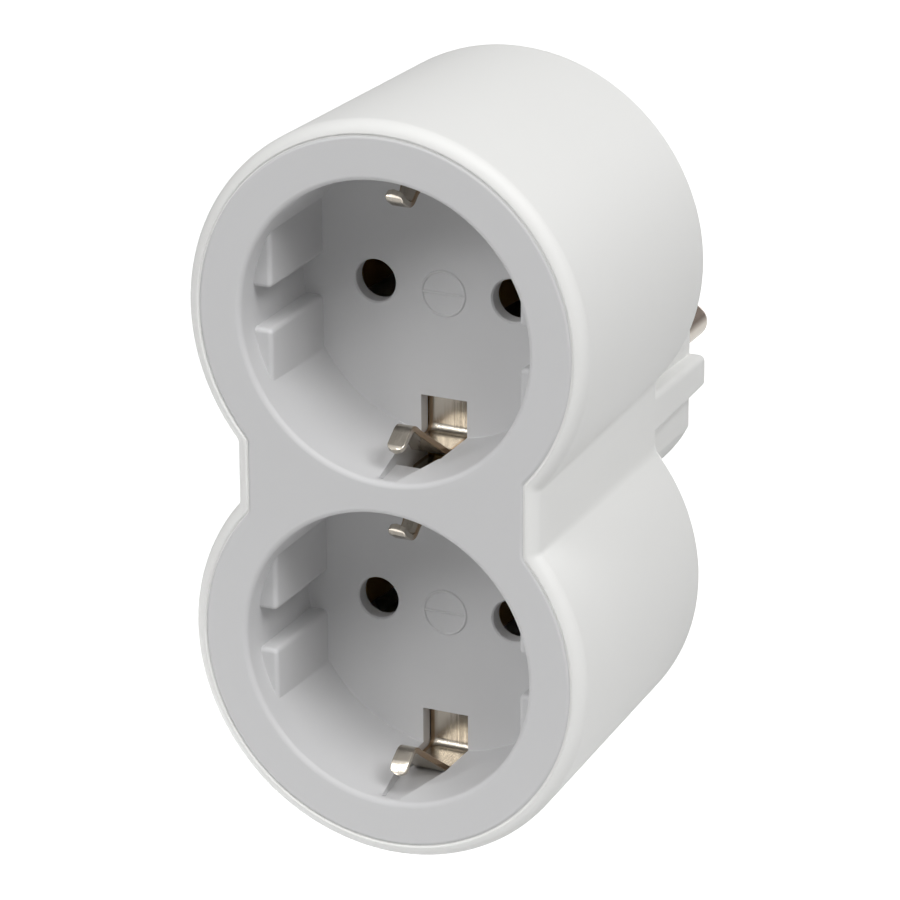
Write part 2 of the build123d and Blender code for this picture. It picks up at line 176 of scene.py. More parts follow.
class FaceSizes(bpy.types.PropertyGroup):
    """Sizes of the grey face with its two wells."""

    radius: length("Lobe radius", 25.4, "Radius of a lobe of the face")
    waist: length("Waist half", 19.0, "Half width of the face between the wells")
    crease: length("Crease", 0.9, "Hollow radius where the waist meets a lobe")
    thickness: length("Thickness", 3.0, "Thickness of the face plate")
    edge_round: length("Edge rounding", 0.6, "Rounding of the face's outer edge")
    well: length("Well radius", 19.55, "Radius of a well")
    well_depth: length("Well depth", 17.8, "Depth of a well")
    rim_round: length("Rim rounding", 0.75, "Rounding of a well's rim")
    floor_round: length("Floor rounding", 0.1, "Hollow radius around a well's floor")
    cup_wall: length("Cup wall", 1.6, "Wall of the cup around a well")
    floor: length("Floor", 2.0, "Thickness of a well's floor")
    lug_inner: length("Lug face", 16.87, "Distance of the lugs' faces from the well's middle")
    lug_gap: length("Lug gap half", 2.7, "Half of the gap between two lugs")
    lug_end: length("Lug end", 10.85, "Distance of the lugs' far ends from the well's middle")
    lug_depth: length("Lug depth", 3.4, "Depth of the lugs' front ends behind the face")
    lug_drop: length("Lug drop", 0.33, "How far the lugs are below the well's middle")
    lug_round: length("Lug rounding", 0.62, "Rounding of the lugs' edges")
    hole: length("Pin hole", 2.8, "Radius of a pin hole")
    hole_chamfer: length("Hole chamfer", 0.2, "Chamfer of a pin hole's mouth")
    mark: length("Mark radius", 3.15, "Radius of the round mark on a well's floor")
    mark_line: length("Mark line", 0.42, "Width of the mark's raised line")
    mark_height: length("Mark height", 0.15, "Height of the mark's raised line")
    mark_drop: length("Mark drop", 0.4, "How far the mark is below the well's middle")
    slot_half: length("Earth slot half", 3.2, "Half width of an earth slot and its groove")
    slot_start: length("Earth slot start", 14.35, "Inner end of an earth slot")
    groove_start: length("Groove start", 18.4, "Inner limit of an earth groove's cut")
    groove_end: length("Groove end", 21.4, "Distance of an earth groove's floor from the well's middle")
    groove_tip_depth: length("Groove tip depth", 0.9, "Depth behind the face where a groove begins")
    groove_tip_edge: length("Groove tip edge", 19.3, "A groove floor's distance from the well's middle there")
    groove_tip_half: length("Groove tip half", 1.2, "Half width of a groove there")
    groove_wide_depth: length("Groove wide depth", 11.0, "Depth where a groove has its full width")
    groove_step_depth: length("Groove step depth", 3.0, "Depth where a groove's steep beginning ends")
    groove_step_edge: length("Groove step edge", 20.4, "A groove floor's distance from the middle there")
    groove_ramp_depth: length("Groove ramp depth", 9.0, "Depth where a groove's ramp ends")
    groove_ramp_edge: length("Groove ramp edge", 21.0, "A groove floor's distance from the middle there")
    window_depth: length("Window depth", 9.8, "Depth where the window from well to well begins")
    groove_wall: length("Groove wall", 1.2, "Wall around a groove")
    post: length("Screw post", 3.25, "Radius of a screw post")
    post_gap: length("Post gap", 0.1, "Room between a screw post and its boss")


class MetalSizes(bpy.types.PropertyGroup):
    """Sizes of the pins, strips and screws."""

    sheet: length("Sheet", 0.8, "Thickness of the strips")
    sheet_edge: length("Sheet edge", 0.14, "Rounding of the strips' edges")
    arm_half: length("Arm half width", 2.65, "Half width of an earth arm where it leans inwards")
    base_half: length("Base half width", 3.12, "Half width of an earth bracket behind the well's floor")
    base_depth: length("Base depth", 15.2, "Depth where an earth arm has its base's width")
    arm_bend: length("Arm bend", 1.4, "Bend radius of an earth arm")
    arm_edge: length("Arm edge", 20.3, "Distance of an earth arm's root from the bracket's middle")
    arm_bend_depth: length("Arm bend depth", 13.9, "Depth behind the face where an earth arm leans inwards")
    arm_peak_depth: length("Arm peak depth", 6.45, "Depth of an earth arm's peak")
    arm_peak: length("Arm peak", 14.45, "Distance of the peak's corner from the bracket's middle")
    arm_curl_depth: length("Arm curl depth", 4.3, "Depth where the tongue curls away from the middle")
    arm_curl: length("Arm curl", 15.85, "Distance of the curl's corner from the bracket's middle")
    arm_tip_depth: length("Arm tip depth", 3.4, "Depth of an earth arm's tip")
    arm_tip: length("Arm tip", 17.1, "Distance of the tip from the bracket's middle")
    plain_tip_depth: length("Plain tip depth", 3.15, "Depth of the tip that isn't curled, in the upper well")
    plain_tip: length("Plain tip", 16.75, "Distance of that tip from the bracket's middle")
    tongue_half: length("Tongue half width", 1.2, "Half width of an earth arm's tongue")
    tongue_depth: length("Tongue depth", 8.0, "Depth where the tongue begins")
    tip_round: length("Tip rounding", 1.05, "Rounding of an earth arm's tip")
    bow_half: length("Bow half width", 2.7, "Half width of the plug's earth bow")
    bow_bend: length("Bow bend", 1.2, "Bend radius of the plug's earth bow")
    bow_leg: length("Bow leg", 16.85, "Distance of the bow's legs from the middle")
    bow_peak: length("Bow peak", 17.8, "Distance of the bow's bulges from the middle")
    bow_low: length("Bow low", 4.0, "Height where a bulge of the bow begins")
    bow_crest: length("Bow crest", 9.0, "Height of the bulges' crests")
    bow_high: length("Bow high", 14.0, "Height where a bulge of the bow ends")
    pin: length("Pin radius", 2.4, "Radius of a plug pin")
    pin_tip: length("Pin tip", 2.0, "Rounding of a plug pin's tip")
    pin_root: length("Pin root", 2.8, "Radius of a plug pin inside the plug body")
    collar: length("Pin collar", 3.6, "Radius of a plug pin's collar")
    spigot: length("Pin spigot", 1.5, "Radius of a plug pin's spigot")
    pin_head: length("Pin head", 2.0, "Radius of a plug pin's peened head")
    screw_head: length("Screw head", 2.8, "Radius of a screw head")
    screw_dome: length("Screw dome", 0.7, "Rounding of a screw head's edge")
    screw_shank: length("Screw shank", 1.4, "Radius of a screw shank")
    drive_half: length("Drive half length", 1.6, "Half length of the cross recess")
    drive_width: length("Drive width", 0.7, "Width of the cross recess")
    drive_depth: length("Drive depth", 1.1, "Depth of the cross recess")
    drive_turn: turn("Drive turn", 37, "Turn from one screw's recess to the next")


class FinishColours(bpy.types.PropertyGroup):
    """Colours of the finishes."""

    white: tint("Housing", (0.84, 0.84, 0.825), "White plastic of the housing")
    grey: tint("Face", (0.637, 0.637, 0.642), "Grey plastic of the face")
    nickel: tint("Nickel", (0.59, 0.54, 0.465), "Nickel plate of the earth strips")
    cut: tint("Cut edge", (0.36, 0.26, 0.17), "Bare metal at the cut edges of the earth strips")
    worn: tint("Worn nickel", (0.46, 0.42, 0.37), "Handled nickel plate of the plug pins")
    # Painted reflection: a dark colour on the upper sides of the plug pins stands in for the dark
    # surroundings they reflect
    painted_dark_reflection: tint("Painted_reflection", (0.11, 0.08, 0.062), "Tarnish on the upper sides of the plug pins")
    brass: tint("Brass", (0.60, 0.41, 0.18), "Brass of the inner contacts")
    zinc: tint("Zinc", (0.66, 0.67, 0.68), "Zinc plate of the screws")
    dust: tint("Dust", (0.30, 0.29, 0.28), "Specks of dust")
    floor: tint("Floor", (0.80, 0.80, 0.80), "Studio floor as the camera sees it")
    floor_bounce: tint("Floor bounce", (0.30, 0.30, 0.30), "Studio floor as it lights the object")


class StudioSizes(bpy.types.PropertyGroup):
    """Where the camera stands and how the studio is lit."""

    azimuth: turn("Azimuth", 25.02, "Camera's turn to the right of the socket face")
    elevation: turn("Elevation", 21.16, "Camera's height angle")
    roll: turn("Roll", -0.25, "Camera's roll")
    distance: length("Distance", 625.4, "Camera's distance from the middle of the face")
    right: length("Step right", 8.23, "Camera's step to its right")
    up: length("Step up", 6.12, "Camera's step up")
    lens: bpy.props.FloatProperty(
        name="Lens", description="Focal length", default=201.86, min=1.0, unit="CAMERA"
    )
    floor_drop: length("Floor drop", 60, "Distance of the floor below the housing")
    floor_half: length("Floor half side", 4000, "Half side of the floor")
    floor_glow: level("Floor glow", 0.75, "How far the camera sees the floor lighter than it is")
    lamp_distance: length("Lamp distance", 900, "Distance of the lamps from the face")
    low_lamp_rise: length("Low lamp rise", 13.7, "Height of the low lamps above the floor")
    world: level("World", 0.005, "Strength of the light from all round")
    backdrop: level("Backdrop", 1.0, "Strength at which the camera and reflections see all round")


def arc(centre, radius, start, end, steps):
    """Points of an arc in a plane, first and last included."""
    angles = [start + (end - start) * i / steps for i in range(steps + 1)]
    return [(centre[0] + radius * cos(a), centre[1] + radius * sin(a)) for a in angles]


def quarter(radius, steps=ROUND_STEPS):
    """Inset and rise along an edge's rounding, from the end face to the side."""
    angles = [pi / 2 * i / steps for i in range(steps + 1)]
    return [(radius * (1 - sin(a)), radius * (1 - cos(a))) for a in angles]


def between(first, last, steps):
    """Points between two points, neither included."""
    return [tuple(a + (b - a) * i / steps for a, b in zip(first, last)) for i in range(1, steps)]


def along(line, place):
    """Value at a place on a bent line of pairs of place and value."""
    for (start, low), (end, high) in zip(line, line[1:]):
        if place <= end:
            return low + (high - low) * (place - start) / (end - start)
    return line[-1][1]


def figure_eight(radius, half, crease):
    """Outline (x, z) of two lobes joined by a waist with hollow creases."""
    across = half + crease
    reach = sqrt((radius + crease) ** 2 - across**2)
    lean = atan2(reach, across)
    knee = WELL_Z - reach
    upper = arc((0, WELL_Z), radius, -lean, pi + lean, LOBE_STEPS)
    left_upper = arc((-across, knee), crease, lean, 0, CREASE_STEPS)
    left_lower = arc((-across, -knee), crease, 0, -lean, CREASE_STEPS)
    lower = arc((0, -WELL_Z), radius, pi - lean, 2 * pi + lean, LOBE_STEPS)
    right_lower = arc((across, -knee), crease, pi + lean, pi, CREASE_STEPS)
    right_upper = arc((across, knee), crease, pi, pi - lean, CREASE_STEPS)
    left = between(left_upper[-1], left_lower[0], WAIST_STEPS)
    right = between(right_lower[-1], right_upper[0], WAIST_STEPS)
    return (
        upper[:-1] + left_upper + left + left_lower[:-1] + lower[:-1] + right_lower + right + right_upper[:-1]
    )


def flatted_circle(radius, flat):
    """Outline (x, z) of a circle with a flat on either side."""
    lean = acos(flat / radius)
    top = arc((0, 0), radius, lean, pi - lean, LOBE_STEPS // 2)
    bottom = arc((0, 0), radius, pi + lean, 2 * pi - lean, LOBE_STEPS // 2)
    left = between(top[-1], bottom[0], WAIST_STEPS)
    right = between(bottom[-1], top[0], WAIST_STEPS)
    return top + left + bottom + right


def circle(radius, middle=(0, 0), steps=HOLE_STEPS):
    """Outline (x, z) of a circle."""
    return arc(middle, radius, 0, 2 * pi, steps)[:-1]


def rectangle(low_x, high_x, low_z, high_z, rounding=0.0, steps=4):
    """Outline (x, z) of a rectangle, with rounded corners where a rounding is given."""
    if not rounding:
        return [(high_x, low_z), (high_x, high_z), (low_x, high_z), (low_x, low_z)]
    return (
        arc((high_x - rounding, low_z + rounding), rounding, -pi / 2, 0, steps)
        + arc((high_x - rounding, high_z - rounding), rounding, 0, pi / 2, steps)
        + arc((low_x + rounding, high_z - rounding), rounding, pi / 2, pi, steps)
        + arc((low_x + rounding, low_z + rounding), rounding, pi, 3 * pi / 2, steps)
    )


def at_height(outline, height):
    """An outline (x, z) set at a height."""
    return [Vector((x, -height, z)) for x, z in outline]


def solid(name, shape):
    """Object of a closed mesh, its faces turned outwards."""
    bmesh.ops.recalc_face_normals(shape, faces=shape.faces)
    mesh = bpy.data.meshes.new(name)
    shape.to_mesh(mesh)
    shape.free()
    piece = bpy.data.objects.new(name, mesh)
    bpy.context.scene.collection.objects.link(piece)
    return piece


def loft(name, loops):
    """Closed solid through loops of equally many points, with flat ends."""
    shape = bmesh.new()
    rows = [[shape.verts.new(point) for point in loop] for loop in loops]
    for low, high in zip(rows, rows[1:]):
        for i, corner in enumerate(low):
            j = (i + 1) % len(low)
            shape.faces.new((corner, low[j], high[j], high[i]))
    shape.faces.new(rows[0][::-1])
    shape.faces.new(rows[-1])
    return solid(name, shape)


def prism(name, outline, low, high):
    """Solid of an outline (x, z) between two heights."""
    return loft(name, [at_height(outline, low), at_height(outline, high)])


def turned(name, profile, middle=(0, 0), steps=HOLE_STEPS):
    """Solid turned about a line along Y through middle (x, z), from pairs of radius and height."""
    return loft(name, [at_height(circle(radius, middle, steps), height) for radius, height in profile])


def settle(piece):
    """Makes the modified shape the piece's own mesh."""
    graph = bpy.context.evaluated_depsgraph_get()
    mesh = bpy.data.meshes.new_from_object(piece.evaluated_get(graph), depsgraph=graph)
    plain = piece.data
    piece.modifiers.clear()
    piece.data = mesh
    bpy.data.meshes.remove(plain)
    return piece


def combine(piece, operation, others):
    """Joins other solids to a piece, or cuts them from it, and uses them up."""
    for other in others:
        change = piece.modifiers.new(operation.lower(), "BOOLEAN")
        change.operation = operation
        change.object = other
        change.solver = "EXACT"
        settle(piece)
        bpy.data.meshes.remove(other.data)
    return piece


def bent_line(points, radius, spacing, steps=10):
    """Points along a line with bends of one radius, no further apart than spacing."""
    corners = [Vector(point) for point in points]
    line = [corners[0]]
    for before, corner, after in zip(corners, corners[1:], corners[2:]):
        back = (before - corner).normalized()
        ahead = (after - corner).normalized()
        half = back.angle(ahead) / 2
        middle = corner + (back + ahead).normalized() * radius / sin(half)
        first = corner + back * radius / tan(half) - middle
        last = corner + ahead * radius / tan(half) - middle
        line += [middle + first.lerp(last, i / steps).normalized() * radius for i in range(steps + 1)]
    line.append(corners[-1])
    fine = [line[0]]
    for start, end in zip(line, line[1:]):
        parts = max(1, round((end - start).length / spacing))
        fine += [start.lerp(end, i / parts) for i in range(1, parts + 1)]
    return fine


def bent_strip(name, line, sheet, edge, half_width, middle_z=0.0):
    """Strip bent along a line (y, z).

    half_width gives the strip's half width from a point and from the way to the line's nearest end.
    """
    ways = [0.0]
    for start, end in zip(line, line[1:]):
        ways.append(ways[-1] + (end - start).length)
    loops = []
    for i, point in enumerate(line):
        ahead = (line[min(i + 1, len(line) - 1)] - line[max(i - 1, 0)]).normalized()
        aside = Vector((-ahead.y, ahead.x))
        half = half_width(point, min(ways[i], ways[-1] - ways[i]))
        section = rectangle(-half, half, -sheet / 2, sheet / 2, edge, 3)
        spots = [(x, point + aside * out) for x, out in section]
        loops.append([Vector((x, spot.x, middle_z + spot.y)) for x, spot in spots])
    return loft(name, loops)


class Flow:
    """A value on a shader socket that takes part in Python arithmetic."""

    def __init__(self, finish, socket):
        self.finish = finish
        self.socket = socket

    def maths(self, operation, first, second):
        return self.finish.add("ShaderNodeMath", {"operation": operation}, {0: first, 1: second})

    def __add__(self, other):
        return self.maths("ADD", self, other)

    def __sub__(self, other):
        return self.maths("SUBTRACT", self, other)

    def __rsub__(self, other):
        return self.maths("SUBTRACT", other, self)

    def __mul__(self, other):
        return self.maths("MULTIPLY", self, other)

    def __lt__(self, other):
        return self.maths("LESS_THAN", self, other)

    def __abs__(self):
        return self.maths("ABSOLUTE", self, 0.0)

    __radd__ = __add__
    __rmul__ = __mul__


class Tree:
    """A shader tree whose nodes are written as expressions."""

    def __init__(self, tree, output):
        self.tree = tree
        self.output = tree.nodes[output]

    def join(self, socket, value):
        """Links a value to a socket, or sets it there."""
        if isinstance(value, Flow):
            self.tree.links.new(value.socket, socket)
        else:
            socket.default_value = value

    def add(self, kind, settings=None, sockets=None, output=0):
        """A node of a kind: its settings come first, then the values or links of its sockets."""
        node = self.tree.nodes.new(kind)
        for key, value in (settings or {}).items():
            setattr(node, key, value)
        for key, value in (sockets or {}).items():
            self.join(node.inputs[key], value)
        return Flow(self, node.outputs[output])

    def feed(self, shader, **values):
        """Values or links of a shader's sockets, their names with _ for a space."""
        for key, value in values.items():
            self.join(shader.inputs[key.replace("_", " ")], value)

    def by_sight(self, plain, seen):
        """One shader for the light it gives, and another for what the camera and reflections see."""
        path = self.tree.nodes.new("ShaderNodeLightPath")
        camera, glossy, through = (
            Flow(self, path.outputs[key]) for key in ("Is Camera Ray", "Is Glossy Ray", "Is Transmission Ray")
        )
        sight = camera + glossy + through
        sockets = {0: sight, 1: Flow(self, plain.outputs[0]), 2: Flow(self, seen.outputs[0])}
        self.join(self.output.inputs["Surface"], self.add("ShaderNodeMixShader", None, sockets))


class Finish(Tree):
    """A material on the piece's own coordinates."""

    def __init__(self, name, **constants):
        self.material = bpy.data.materials.new(name)
        self.material.use_nodes = True
        super().__init__(self.material.node_tree, "Material Output")
        self.shader = self.tree.nodes["Principled BSDF"]
        self.feed(self.shader, **constants)
        self.place = self.add("ShaderNodeTexCoord", output="Object")

    def noise(self, scale, detail=2.0, stretch=(1, 1, 1)):
        """Noise from 0 to 1 over the piece, its grain about 1 / scale metres long."""
        spot = self.add("ShaderNodeVectorMath", {"operation": "MULTIPLY"}, {0: self.place, 1: stretch})
        return self.add("ShaderNodeTexNoise", None, {"Vector": spot, "Scale": scale, "Detail": detail})

    def mix(self, share, first, second):
        """A colour between two colours."""
        return self.add("ShaderNodeMix", {"data_type": "RGBA"}, {0: share, 6: first, 7: second}, output=2)

    def ramp(self, value, start, end, low, high):
        """A value taken from one range to another, and held at the range's ends."""
        return self.add("ShaderNodeMapRange", None, {"Value": value, 1: start, 2: end, 3: low, 4: high})

    def bump(self, height, depth):
        """Relief of a depth in metres, from heights of 0 to 1."""
        return self.add("ShaderNodeBump", None, {"Height": height, "Distance": depth})


def shade(colour, factor=1.0):
    """A colour with alpha, made lighter or darker by a factor."""
    return tuple(part * factor for part in colour) + (1.0,)


def moulded_plastic(name, colour, dust):
    """Satin moulded plastic: fine eroded grain, faint flow clouds and a few specks of dust."""
    speck_radius = 0.012
    specks_kept = 0.22
    speck_strength = 0.8
    grain_depth = 0.006 * MM
    finish = Finish(name, Specular_IOR_Level=0.3)
    cloud = finish.noise(scale=45, detail=3)
    grain = finish.noise(scale=5200, detail=2)
    cell = {"Vector": finish.place, "Scale": 85.0}
    speck = finish.add("ShaderNodeTexVoronoi", None, cell, "Distance") < speck_radius
    draw = finish.add("ShaderNodeTexVoronoi", None, cell, "Color")
    kept = finish.add("ShaderNodeSeparateColor", None, {0: draw}) < specks_kept
    clouded = finish.mix(cloud, shade(colour, 0.985), shade(colour, 1.01))
    finish.feed(
        finish.shader,
        Base_Color=finish.mix(speck * kept * speck_strength, clouded, shade(dust)),
        Roughness=0.48 + 0.06 * cloud + 0.06 * grain,
        Normal=finish.bump(grain, grain_depth),
    )
    return finish.material


def plated_metal(name, colour, roughness, mask=None, other=None):
    """Rolled and plated metal with fine lines, dents and duller patches, and another colour on a mask."""
    relief = 0.06 * MM
    finish = Finish(name, Metallic=1.0)
    line = finish.noise(scale=900, detail=3, stretch=(3.0, 0.08, 0.08))
    dent = finish.noise(scale=420, detail=2)
    stain = finish.noise(scale=150, detail=4)
    plate = finish.mix(stain, shade(colour, 0.72), shade(colour, 1.1))
    finish.feed(
        finish.shader,
        Base_Color=finish.mix(mask(finish), plate, shade(other)) if mask else plate,
        Roughness=roughness + 0.10 * line + 0.08 * stain,
        Normal=finish.bump(0.55 * line + 0.45 * dent, relief),
    )
    return finish.material


def cut_edge(finish):
    """1 along the cut edges of an earth bracket's arms, 0 on the rest."""
    bare = 0.05 * MM
    plated = 0.25 * MM
    fade = 1 * MM
    size = bpy.context.scene.adapter_metal
    across = finish.add("ShaderNodeSeparateXYZ", None, {0: finish.place}, "X")
    depth = finish.add("ShaderNodeSeparateXYZ", None, {0: finish.place}, "Y") + FRONT
    half = finish.ramp(depth, size.tongue_depth, size.arm_bend_depth, size.tongue_half, size.arm_half)
    arm = finish.ramp(depth, size.arm_peak_depth - fade, size.arm_peak_depth, 0.0, 1.0)
    return arm * finish.ramp(abs(across) - half, -plated, -bare, 0.0, 1.0)


def painted_reflection_top(finish):
    """Mask of the painted dark reflection: 1 on the upper side of a plug pin, 0 below it, with a soft edge
    between.
    """
    reflection_from = 0.1 * MM
    reflection_full = 1.1 * MM
    height = finish.add("ShaderNodeSeparateXYZ", None, {0: finish.place}, "Z")
    return finish.ramp(height, reflection_from, reflection_full, 0.0, 1.0)


def studio_floor(colour, bounce, glow):
    """Matt pale floor with a faint mottle; the camera and reflections see it lighter than it lights."""
    finish = Finish("studio_floor", Roughness=0.9, Base_Color=shade(bounce))
    mottle = finish.mix(finish.noise(scale=6, detail=2), shade(colour, 0.99), shade(colour, 1.0))
    seen = finish.tree.nodes.new("ShaderNodeBsdfPrincipled")
    finish.feed(seen, Roughness=0.9, Base_Color=mottle, Emission_Color=(1, 1, 1, 1), Emission_Strength=glow)
    finish.by_sight(finish.shader, seen)
    return finish.material


def studio_world(light, backdrop):
    """Even light from all round, which the camera and reflections see as a white backdrop."""
    world = bpy.data.worlds.new("studio")
    world.use_nodes = True
    finish = Tree(world.node_tree, "World Output")
    lit = world.node_tree.nodes["Background"]
    finish.feed(lit, Color=(1, 1, 1, 1), Strength=light)
    seen = world.node_tree.nodes.new("ShaderNodeBackground")
    finish.feed(seen, Color=(1, 1, 1, 1), Strength=backdrop)
    finish.by_sight(lit, seen)
    return world


def finish_of(slot):
    """The material of a slot, made at its first use."""
    found = bpy.data.materials.get(slot + "_finish")
    if found:
        return found
    colours = bpy.context.scene.adapter_colours
    if slot == "white_plastic":
        return moulded_plastic(slot + "_finish", colours.white, colours.dust)
    if slot == "grey_plastic":
        return moulded_plastic(slot + "_finish", colours.grey, colours.dust)
    if slot == "nickel":
        return plated_metal(slot + "_finish", colours.nickel, 0.12)
    if slot == "bracket_nickel":
        return plated_metal(slot + "_finish", colours.nickel, 0.14, cut_edge, colours.cut)
    if slot == "worn_nickel_painted_reflection":
        # Plug pins: worn nickel, with a dark reflection painted on their upper sides
        return plated_metal(slot + "_finish", colours.worn, 0.26, painted_reflection_top, colours.painted_dark_reflection)
    if slot == "brass":
        return plated_metal(slot + "_finish", colours.brass, 0.24)
    return plated_metal(slot + "_finish", colours.zinc, 0.28)


def dress(piece, slot, *nodes, finish=None):
    """Gives a finished piece its normals and material, and hides the nodes that it stands for."""
    piece.data.materials.clear()
    piece.data.materials.append(finish_of(finish or slot))
    piece.data.shade_smooth()
    piece.data.set_sharp_from_angle(angle=SHARP)
    normals = piece.modifiers.new("normals", "WEIGHTED_NORMAL")
    normals.keep_sharp = True
    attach(piece, BODY)
    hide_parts(*nodes)


def screw_spots(housing):
    """Places (x, z) of the two case screws."""
    return [(housing.screw_x, housing.screw_z), (-housing.screw_x, -housing.screw_z)]


class ADAPTER_OT_housing(bpy.types.Operator):
    """White figure-of-eight housing with the plug body on its back"""

    bl_idname = "adapter.housing"
    bl_label = "Housing"
    bl_options = {"REGISTER", "UNDO"}

    def execute(self, context):
        size = context.scene.adapter_housing
        face = context.scene.adapter_face
        metal = context.scene.adapter_metal
        back = size.plug_length
        inside = back + size.wall
        case = self.case(size, face, back, inside)
        combine(case, "UNION", [self.plug(size, inside), self.ribs(size, back)])
        boss = [(size.screw_boss, inside - SPILL), (size.screw_boss, inside + size.screw_boss_height)]
        combine(case, "UNION", [turned("boss", boss, spot) for spot in screw_spots(size)])
        combine(case, "DIFFERENCE", [self.hollow(size, inside)])
        pins = [(PIN_X, 0), (-PIN_X, 0)]
        tube = [(size.tube, size.plug_face - SPILL), (size.tube, inside)]
        combine(case, "UNION", [turned("tube", tube, spot) for spot in pins])
        radius = metal.pin_root + size.pin_gap
        bore = [(radius, -SPILL), (radius, inside + SPILL)]
        combine(case, "DIFFERENCE", [turned("bore", bore, spot) for spot in pins])
        combine(case, "DIFFERENCE", self.earth_grooves(size, back, inside))
        combine(case, "DIFFERENCE", self.screw_recesses(size, back, inside))
        dress(case, "white_plastic", "housing")
        return {"FINISHED"}

    def case(self, size, face, back, inside):
        """Drafted case with its rounded rim, the pocket for the face and the cavity."""
        spread = size.lobe_front - size.lobe_back

        def outside(inset, height):
            out = spread * (height - back) / (FRONT - back) - inset
            outline = figure_eight(size.lobe_back + out, size.waist_back + out, size.crease_back - out)
            return at_height(outline, height)

        def pocket(out, height):
            out += size.seam
            return at_height(figure_eight(face.radius + out, face.waist + out, face.crease - out), height)

        def cavity(height):
            return at_height(figure_eight(size.cavity, size.cavity_waist, size.cavity_crease), height)

        loops = [outside(inset, back + rise) for inset, rise in quarter(size.back_round)]
        lip = size.lobe_front - face.radius - size.seam - size.lip_round
        last = asin(1 - lip / size.front_round)
        for i in range(ROUND_STEPS + 1):
            angle = pi / 2 + (last - pi / 2) * i / ROUND_STEPS
            inset = size.front_round * (1 - sin(angle))
            loops.append(outside(inset, FRONT - size.front_round * (1 - cos(angle))))
        crest = FRONT - size.front_round * (1 - cos(last))
        loops += [pocket(inset, crest - rise) for inset, rise in quarter(size.lip_round, 4)]
        for i in range(4):
            depth = size.lip_depth + (face.edge_round - size.lip_depth) * i / 3
            reach = sqrt(face.edge_round**2 - (face.edge_round - depth) ** 2)
            loops.append(pocket(reach - face.edge_round, FRONT - depth))
        ledge = FRONT - face.thickness
        loops += [pocket(0, ledge), cavity(ledge), cavity(inside)]
        return loft("housing", loops)

    def plug(self, size, inside):
        """Round plug body with flats, its face's edge rounded."""
        loops = [
            at_height(flatted_circle(size.plug_radius - inset, size.plug_flat - inset), rise)
            for inset, rise in quarter(size.plug_round)
        ]
        return loft("plug", loops + [at_height(flatted_circle(size.plug_radius, size.plug_flat), inside)])

    def ribs(self, size, back):
        """Guide ribs along either side of the plug body, as one drafted bar that runs into the waist."""

        def section(inset, height):
            out = height * tan(size.rib_draft) - inset
            reach = size.rib_reach + out
            half = size.rib_half + out
            outline = rectangle(-reach, reach, -half, half, size.rib_round - inset + LAST_ROUND)
            return at_height(outline, height)

        loops = [section(inset, rise) for inset, rise in quarter(size.rib_round, 5)]
        return loft("ribs", loops + [section(0, back + size.back_round)])

    def hollow(self, size, inside):
        """Hollow of the plug body, open to the inside."""
        reach = size.plug_radius - size.wall
        side = size.plug_flat - size.wall
        top = size.hollow_half
        room = circle(reach, steps=WELL_STEPS)
        outline = [(max(-side, min(side, x)), max(-top, min(top, z))) for x, z in room]
        return prism("hollow", outline, size.plug_face, inside + SPILL)

    def earth_grooves(self, size, back, inside):
        """Grooves above and below the plug body, and the slots at their ends."""
        cutters = []
        for side in (1, -1):
            for half, low, high, start, end in (
                (size.groove_half, size.groove_floor, size.plug_radius + SPILL, -SPILL, back),
                (size.slot_half, size.slot_inner, size.slot_outer, back - SPILL, inside + SPILL),
            ):
                low_z, high_z = sorted((side * low, side * high))
                cutters.append(prism("groove", rectangle(-half, half, low_z, high_z), start, end))
        return cutters

    def screw_recesses(self, size, back, inside):
        """Stepped holes for the case screws."""
        seat = back + size.screw_seat
        profile = [
            (size.screw_recess + TOUCH, back - SPILL),
            (size.screw_recess + TOUCH, back),
            (size.screw_recess, back + TOUCH),
            (size.screw_recess, seat),
            (size.screw_hole, seat),
            (size.screw_hole, inside + size.screw_boss_height + SPILL),
        ]
        return [turned("recess", profile, spot) for spot in screw_spots(size)]


